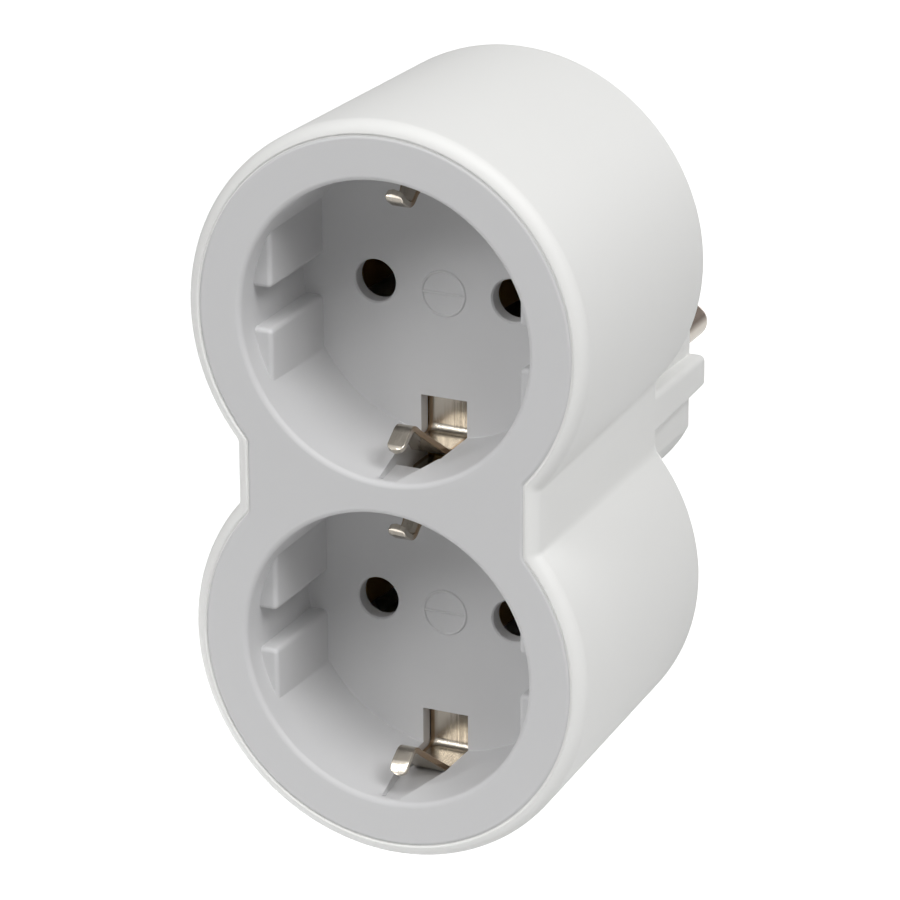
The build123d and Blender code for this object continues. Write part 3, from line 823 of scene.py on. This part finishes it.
class ADAPTER_OT_face(bpy.types.Operator):
    """Grey face with two wells, their lugs, pin holes and earth grooves"""

    bl_idname = "adapter.face"
    bl_label = "Face"
    bl_options = {"REGISTER", "UNDO"}

    def execute(self, context):
        size = context.scene.adapter_face
        housing = context.scene.adapter_housing
        floor = FRONT - size.well_depth
        under = floor - size.floor
        ledge = FRONT - size.thickness
        face = self.plate(size, ledge)
        wells = (WELL_Z, -WELL_Z)
        cup = size.well + size.cup_wall
        combine(face, "UNION", [
            turned("cup", [(cup, under), (cup, ledge + SPILL)], (0, z), WELL_STEPS) for z in wells
        ])
        combine(face, "UNION", self.groove_boxes(size, under, ledge))
        combine(face, "UNION", self.screw_posts(size, housing, under))
        combine(face, "DIFFERENCE", [self.well(size, z, floor) for z in wells])
        combine(face, "DIFFERENCE", [
            self.pin_hole(size, (x, z), floor, under) for x in (PIN_X, -PIN_X) for z in wells
        ])
        for z in wells:
            for side in (1, -1):
                combine(face, "DIFFERENCE", self.earth_groove(size, z, side, floor, under))
        combine(face, "DIFFERENCE", [self.window(size, under)])
        dress(face, "grey_plastic", "face_insert")
        return {"FINISHED"}

    def plate(self, size, ledge):
        """Figure-of-eight plate with a rounded front edge."""

        def outline(inset, height):
            eight = figure_eight(size.radius - inset, size.waist - inset, size.crease + inset)
            return at_height(eight, height)

        front = [outline(inset, FRONT - rise) for inset, rise in quarter(size.edge_round, 5)]
        return loft("face_insert", [outline(0, ledge)] + front[::-1])

    def groove_boxes(self, size, under, ledge):
        """Blocks behind the face that carry the earth grooves."""
        half = size.slot_half + size.groove_wall
        inner = WELL_Z + size.groove_start
        outer = WELL_Z + size.groove_end + size.groove_wall
        middle = WELL_Z - size.well
        spans = ((inner, outer), (-outer, -inner), (-middle, middle))
        outlines = [rectangle(-half, half, low, high) for low, high in spans]
        return [prism("block", outline, under, ledge + SPILL) for outline in outlines]

    def screw_posts(self, size, housing, under):
        """Posts that the case screws hold, with their pilot holes left to the screws."""
        bottom = housing.plug_length + housing.wall + housing.screw_boss_height + size.post_gap
        post = [(size.post, bottom), (size.post, under + SPILL)]
        return [turned("post", post, spot) for spot in screw_spots(housing)]

    def well(self, size, middle, floor):
        """Room of one well: a rounded rim, less the lugs and the floor's mark."""
        profile = [(size.well - inset, floor + rise) for inset, rise in quarter(size.floor_round, 4)]
        profile += [(size.well + rise, FRONT - inset) for inset, rise in quarter(size.rim_round)]
        profile.append((size.well + size.rim_round, FRONT + SPILL))
        room = turned("well", profile, (0, middle), WELL_STEPS)
        combine(room, "DIFFERENCE", [
            self.lug(size, side, middle - size.lug_drop, low, floor)
            for side in (1, -1) for low in (size.lug_gap, -size.lug_end)
        ])
        combine(room, "DIFFERENCE", self.mark(size, middle - size.mark_drop, floor))
        return room

    def lug(self, size, side, middle, low, floor):
        """One lug beside a well's wall, with rounded edges."""
        near = size.lug_inner
        far = size.well + size.cup_wall / 2
        high = low + size.lug_end - size.lug_gap
        front = FRONT - size.lug_depth

        def section(inset, height):
            low_x, high_x = sorted((side * (near + inset), side * (far - inset)))
            rounding = size.lug_round - inset + LAST_ROUND
            outline = rectangle(low_x, high_x, middle + low + inset, middle + high - inset, rounding)
            return at_height(outline, height)

        loops = [section(inset, front - rise) for inset, rise in quarter(size.lug_round, 4)]
        return loft("lug", loops + [section(0, floor - SPILL)])

    def mark(self, size, middle, floor):
        """Raised ring with a line across, on a well's floor, both with sloping sides."""
        top = floor + size.mark_height
        half = size.mark_line / 2
        crest = half / 3
        inner = size.mark - size.mark_line
        outer = [(size.mark, floor - SPILL), (size.mark, floor), (size.mark - half + crest, top)]
        inside = [
            (inner, floor - 2 * SPILL),
            (inner, floor),
            (inner + half - crest, top),
            (inner + half - crest, top + SPILL),
        ]
        ring = turned("ring", outer, (0, middle))
        combine(ring, "DIFFERENCE", [turned("inside", inside, (0, middle))])
        reach = inner + half
        steps = ((half, floor - SPILL), (half, floor), (crest, top))
        bar = [(rectangle(-reach, reach, middle - wide, middle + wide), height) for wide, height in steps]
        line = loft("line", [at_height(outline, height) for outline, height in bar])
        return [combine(ring, "UNION", [line])]

    def pin_hole(self, size, spot, floor, under):
        """Cutter of one pin hole with a chamfered mouth."""
        mouth = size.hole + size.hole_chamfer
        profile = [
            (size.hole, under - SPILL),
            (size.hole, floor - size.hole_chamfer),
            (mouth, floor),
            (mouth, floor + SPILL),
        ]
        return turned("hole", profile, spot)

    def earth_groove(self, size, middle, side, floor, under):
        """Cutters of one earth slot and of the ramped groove that leads to it."""
        end = FRONT - under + SPILL
        flare = [
            (size.groove_tip_depth, size.groove_tip_half),
            (size.groove_wide_depth, size.slot_half),
            (end, size.slot_half),
        ]
        ramp = [
            (size.groove_tip_depth, size.groove_tip_edge),
            (size.groove_step_depth, size.groove_step_edge),
            (size.groove_ramp_depth, size.groove_ramp_edge),
            (size.well_depth, size.groove_end),
            (end, size.groove_end),
        ]
        loops = []
        for depth in sorted({depth for depth, _ in flare + ramp}):
            half = along(flare, depth)
            low, high = sorted((middle + side * size.groove_start, middle + side * along(ramp, depth)))
            loops.append(at_height(rectangle(-half, half, low, high), FRONT - depth))
        low, high = sorted((middle + side * size.slot_start, middle + side * size.groove_end))
        slot = rectangle(-size.slot_half, size.slot_half, low, high)
        return [loft("groove", loops), prism("slot", slot, under - SPILL, floor + TOUCH)]

    def window(self, size, under):
        """Cutter of the window behind the inner grooves, from well to well."""
        reach = WELL_Z - size.groove_start
        outline = rectangle(-size.slot_half, size.slot_half, -reach, reach)
        return prism("window", outline, under - SPILL, FRONT - size.window_depth)


class ADAPTER_OT_earth_brackets(bpy.types.Operator):
    """Earth brackets with a sprung arm at the top and bottom of each well"""

    bl_idname = "adapter.earth_brackets"
    bl_label = "Earth brackets"
    bl_options = {"REGISTER", "UNDO"}

    def execute(self, context):
        size = context.scene.adapter_metal
        root = [
            (size.arm_peak_depth - FRONT, size.arm_peak),
            (size.arm_bend_depth - FRONT, size.arm_edge),
            (-BRACKET_BASE - size.sheet / 2, size.arm_edge),
        ]
        curl = [(size.arm_tip_depth - FRONT, size.arm_tip), (size.arm_curl_depth - FRONT, size.arm_curl)]
        curled = curl + root
        plain = [(size.plain_tip_depth - FRONT, size.plain_tip)] + root
        widths = [
            (0, size.tongue_half),
            (size.tongue_depth, size.tongue_half),
            (size.arm_bend_depth, size.arm_half),
            (size.base_depth, size.base_half),
        ]

        def half_width(point, way):
            half = along(widths, point.x + FRONT)
            short = max(0, size.tip_round - way)
            return half - size.tip_round + sqrt(size.tip_round**2 - short**2)

        for node, middle, lower in (
            ("upper_earth_bracket", BRACKET_Z, plain),
            ("lower_earth_bracket", -BRACKET_Z, curled),
        ):
            line = bent_line(curled + [(y, -z) for y, z in reversed(lower)], size.arm_bend, ARM_SPACING)
            strip = bent_strip(node, line, size.sheet, size.sheet_edge, half_width, middle)
            dress(strip, "nickel", node, finish="bracket_nickel")
        return {"FINISHED"}


class ADAPTER_OT_earth_bow(bpy.types.Operator):
    """Bowed earth strip in the grooves of the plug body"""

    bl_idname = "adapter.earth_bow"
    bl_label = "Earth bow"
    bl_options = {"REGISTER", "UNDO"}

    def execute(self, context):
        size = context.scene.adapter_metal
        end = -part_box("plug_earth_bow")[1].y
        leg = [
            (-end, size.bow_leg),
            (-size.bow_low, size.bow_leg),
            (-size.bow_crest, size.bow_peak),
            (-size.bow_high, size.bow_leg),
            (size.sheet / 2 - BOW_TOP, size.bow_leg),
        ]
        line = bent_line(leg + [(y, -z) for y, z in reversed(leg)], size.bow_bend, BOW_SPACING)

        def half_width(point, way):
            return size.bow_half

        bow = bent_strip("plug_earth_bow", line, size.sheet, size.sheet_edge, half_width)
        dress(bow, "nickel", "plug_earth_bow")
        return {"FINISHED"}


class ADAPTER_OT_plug_pins(bpy.types.Operator):
    """Turned plug pins with rounded tips"""

    bl_idname = "adapter.plug_pins"
    bl_label = "Plug pins"
    bl_options = {"REGISTER", "UNDO"}

    def execute(self, context):
        size = context.scene.adapter_metal
        housing = context.scene.adapter_housing
        inside = housing.plug_length + housing.wall
        profile = [(size.pin - inset, rise - PIN_TIP) for inset, rise in quarter(size.pin_tip)]
        profile += [
            (size.pin, 0),
            (size.pin_root, 0),
            (size.pin_root, inside),
            (size.collar, inside),
            (size.collar, BAR_LOW),
            (size.spigot, BAR_LOW),
            (size.spigot, BAR_HIGH),
            (size.pin_head, BAR_HIGH),
            (size.pin_head, PIN_END),
        ]
        for node, x in (("live_plug_pin", PIN_X), ("neutral_plug_pin", -PIN_X)):
            # The pins' finish paints a dark reflection on their upper sides
            dress(turned(node, profile, (x, 0), PIN_STEPS), "nickel", node, finish="worn_nickel_painted_reflection")
        return {"FINISHED"}


class ADAPTER_OT_case_screws(bpy.types.Operator):
    """Cross-headed case screws, laid out by a node tree"""

    bl_idname = "adapter.case_screws"
    bl_label = "Case screws"
    bl_options = {"REGISTER", "UNDO"}

    def execute(self, context):
        size = context.scene.adapter_metal
        housing = context.scene.adapter_housing
        screw = self.screw(size, housing)
        mesh = bpy.data.meshes.new("case_screws")
        mesh.from_pydata([(x, 0, z) for x, z in screw_spots(housing)], [], [])
        row = bpy.data.objects.new("case_screws", mesh)
        context.scene.collection.objects.link(row)
        layout = row.modifiers.new("layout", "NODES")
        layout.node_group = self.screw_tree()
        inputs = {item.name: item.identifier for item in layout.node_group.interface.items_tree}
        layout[inputs["Screw"]] = screw
        layout[inputs["Turn"]] = size.drive_turn
        layout[inputs["Finish"]] = finish_of("zinc_steel")
        settle(row)
        bpy.data.meshes.remove(screw.data)
        dress(row, "zinc_steel", "case_screws")
        return {"FINISHED"}

    def screw(self, size, housing):
        """One screw on the origin's line, at its height in the housing."""
        seat = housing.plug_length + housing.screw_seat
        dome = quarter(size.screw_dome, 6)
        profile = [(size.screw_head - inset, SCREW_HEAD + rise) for inset, rise in dome]
        profile += [
            (size.screw_head, seat),
            (size.screw_shank, seat),
            (size.screw_shank, SCREW_END - size.screw_shank),
            (size.screw_shank / 3, SCREW_END),
        ]
        screw = turned("screw", profile)
        long = size.drive_half
        short = size.drive_width / 2
        bottom = SCREW_HEAD + size.drive_depth
        arms = [rectangle(-a, a, -b, b) for a, b in ((long, short), (short, long))]
        combine(screw, "DIFFERENCE", [prism("drive", arm, SCREW_HEAD - SPILL, bottom) for arm in arms])
        return screw

    def screw_tree(self):
        """Node tree that sets a screw on each point, each turned a step further."""
        tree = bpy.data.node_groups.new("screw_layout", "GeometryNodeTree")
        tree.interface.new_socket("Points", in_out="INPUT", socket_type="NodeSocketGeometry")
        tree.interface.new_socket("Screw", in_out="INPUT", socket_type="NodeSocketObject")
        tree.interface.new_socket("Turn", in_out="INPUT", socket_type="NodeSocketFloat")
        tree.interface.new_socket("Finish", in_out="INPUT", socket_type="NodeSocketMaterial")
        tree.interface.new_socket("Screws", in_out="OUTPUT", socket_type="NodeSocketGeometry")
        given = tree.nodes.new("NodeGroupInput")
        shape = tree.nodes.new("GeometryNodeObjectInfo")
        order = tree.nodes.new("GeometryNodeInputIndex")
        turned_by = tree.nodes.new("ShaderNodeMath")
        turned_by.operation = "MULTIPLY"
        around = tree.nodes.new("ShaderNodeCombineXYZ")
        place = tree.nodes.new("GeometryNodeInstanceOnPoints")
        real = tree.nodes.new("GeometryNodeRealizeInstances")
        coat = tree.nodes.new("GeometryNodeSetMaterial")
        result = tree.nodes.new("NodeGroupOutput")
        for source, target in (
            (given.outputs["Screw"], shape.inputs["Object"]),
            (order.outputs["Index"], turned_by.inputs[0]),
            (given.outputs["Turn"], turned_by.inputs[1]),
            (turned_by.outputs[0], around.inputs["Y"]),
            (given.outputs["Points"], place.inputs["Points"]),
            (shape.outputs["Geometry"], place.inputs["Instance"]),
            (around.outputs[0], place.inputs["Rotation"]),
            (place.outputs[0], real.inputs[0]),
            (real.outputs[0], coat.inputs["Geometry"]),
            (given.outputs["Finish"], coat.inputs["Material"]),
            (coat.outputs[0], result.inputs[0]),
        ):
            tree.links.new(source, target)
        return tree


class ADAPTER_OT_inner_contacts(bpy.types.Operator):
    """Brass strips, contacts and rivets inside, as the frame has them"""

    bl_idname = "adapter.inner_contacts"
    bl_label = "Inner contacts"
    bl_options = {"REGISTER", "UNDO"}

    def execute(self, context):
        for entry in frame["record"]["subparts"]:
            if entry["material_slot"] == "brass":
                for place in frame["nodes"][entry["node"]].material_slots:
                    place.link = "OBJECT"
                    place.material = finish_of("brass")
        return {"FINISHED"}


class ADAPTER_OT_stage(bpy.types.Operator):
    """Pale floor, soft lamps and the camera"""

    bl_idname = "adapter.stage"
    bl_label = "Stage"
    bl_options = {"REGISTER", "UNDO"}

    # Name, azimuth and elevation in degrees, side in millimetres, power in watts
    LAMPS = (
        ("key_lamp", 70, 45, 300, 3.42),
        ("middle_lamp", 45, 45, 200, 1.0),
        ("front_lamp", -10, 45, 300, 1.6),
        ("top_lamp", 20, 65, 300, 1.66),
        ("left_lamp", -40, 25, 300, 1.75),
        ("fill_lamp", 5, 6, 300, 0.36),
        ("back_lamp", 132, 34, 300, 1.0),
        ("rear_lamp", 180, 0, 300, 2.4),
    )
    # Name, place (x, y), width and depth in millimetres, power in watts
    LOW_LAMPS = (
        ("low_front_lamp", 0, -85, 160, 50, 0.022),
        ("low_left_lamp", -120, -70, 80, 80, 0.098),
        ("low_right_lamp", 120, -70, 80, 80, 0.036),
    )

    def execute(self, context):
        scene = context.scene
        studio = scene.adapter_studio
        scene.view_settings.view_transform = "Standard"
        self.floor(scene, studio)
        scene.world = studio_world(studio.world, studio.backdrop)
        middle = Vector((0, -FRONT, 0))
        for name, azimuth, elevation, side, power in self.LAMPS:
            aside = self.direction(radians(azimuth), radians(elevation))
            self.lamp(scene, name, middle + aside * studio.lamp_distance, aside, (side, side), power)
        height = CAD_BOX[0].z - studio.floor_drop + studio.low_lamp_rise
        for name, x, y, wide, deep, power in self.LOW_LAMPS:
            self.lamp(scene, name, Vector((x * MM, y * MM, height)), Vector((0, 0, -1)), (wide, deep), power)
        self.camera(scene, studio)
        return {"FINISHED"}

    def direction(self, azimuth, elevation):
        """Unit vector from the face towards a place in front of it."""
        return Vector((sin(azimuth) * cos(elevation), -cos(azimuth) * cos(elevation), sin(elevation)))

    def floor(self, scene, studio):
        """Wide flat floor below the housing."""
        half = studio.floor_half
        low = CAD_BOX[0].z - studio.floor_drop
        mesh = bpy.data.meshes.new("floor")
        corners = [(-half, -half, low), (half, -half, low), (half, half, low), (-half, half, low)]
        mesh.from_pydata(corners, [], [(0, 1, 2, 3)])
        colours = scene.adapter_colours
        mesh.materials.append(studio_floor(colours.floor, colours.floor_bounce, studio.floor_glow))
        floor = bpy.data.objects.new("floor", mesh)
        scene.collection.objects.link(floor)

    def lamp(self, scene, name, place, back, sides, power):
        """Flat lamp with sides in millimetres that shines away from its back."""
        light = bpy.data.lights.new(name, "AREA")
        light.shape = "RECTANGLE"
        light.size, light.size_y = (side * MM for side in sides)
        light.energy = power
        lamp = bpy.data.objects.new(name, light)
        lamp.location = place
        lamp.rotation_euler = back.to_track_quat("Z", "Y").to_euler()
        scene.collection.objects.link(lamp)

    def camera(self, scene, studio):
        """Camera at the photograph's place."""
        back = self.direction(studio.azimuth, studio.elevation)
        right = Vector((cos(studio.azimuth), sin(studio.azimuth), 0))
        up = back.cross(right)
        turn_right = right * cos(studio.roll) + up * sin(studio.roll)
        turn_up = up * cos(studio.roll) - right * sin(studio.roll)
        step = turn_right * studio.right + turn_up * studio.up
        eye = Vector((0, -FRONT, 0)) + back * studio.distance + step
        lens = bpy.data.cameras.new("camera")
        lens.lens = studio.lens
        lens.sensor_width = SENSOR
        lens.clip_start = NEAR
        lens.clip_end = FAR
        camera = bpy.data.objects.new("camera", lens)
        axes = Matrix((turn_right, turn_up, back)).transposed().to_4x4()
        camera.matrix_world = Matrix.Translation(eye) @ axes
        scene.collection.objects.link(camera)
        scene.camera = camera


class ADAPTER_PT_panel(bpy.types.Panel):
    """Sizes, colours and pieces of the adapter"""

    bl_idname = "ADAPTER_PT_panel"
    bl_label = "Socket adapter"
    bl_space_type = "VIEW_3D"
    bl_region_type = "UI"
    bl_category = "Adapter"

    def draw(self, context):
        for operator in OPERATORS:
            self.layout.operator(operator.bl_idname)
        for name, group in GROUPS.items():
            box = self.layout.box()
            box.label(text=group.__doc__)
            for key in group.__annotations__:
                box.prop(getattr(context.scene, name), key)


GROUPS = {
    "adapter_housing": HousingSizes,
    "adapter_face": FaceSizes,
    "adapter_metal": MetalSizes,
    "adapter_colours": FinishColours,
    "adapter_studio": StudioSizes,
}
OPERATORS = (
    ADAPTER_OT_housing,
    ADAPTER_OT_face,
    ADAPTER_OT_earth_brackets,
    ADAPTER_OT_earth_bow,
    ADAPTER_OT_plug_pins,
    ADAPTER_OT_case_screws,
    ADAPTER_OT_inner_contacts,
    ADAPTER_OT_stage,
)


def register():
    for group in GROUPS.values():
        bpy.utils.register_class(group)
    for name, group in GROUPS.items():
        setattr(bpy.types.Scene, name, bpy.props.PointerProperty(type=group))
    for entry in OPERATORS + (ADAPTER_PT_panel,):
        bpy.utils.register_class(entry)


def unregister():
    for entry in reversed(OPERATORS + (ADAPTER_PT_panel,)):
        bpy.utils.unregister_class(entry)
    for name, group in GROUPS.items():
        delattr(bpy.types.Scene, name)
        bpy.utils.unregister_class(group)


def main():
    register()
    bpy.ops.adapter.housing()
    bpy.ops.adapter.face()
    bpy.ops.adapter.earth_brackets()
    bpy.ops.adapter.earth_bow()
    bpy.ops.adapter.plug_pins()
    bpy.ops.adapter.case_screws()
    bpy.ops.adapter.inner_contacts()
    bpy.ops.adapter.stage()


if __name__ == "__main__":
    main()
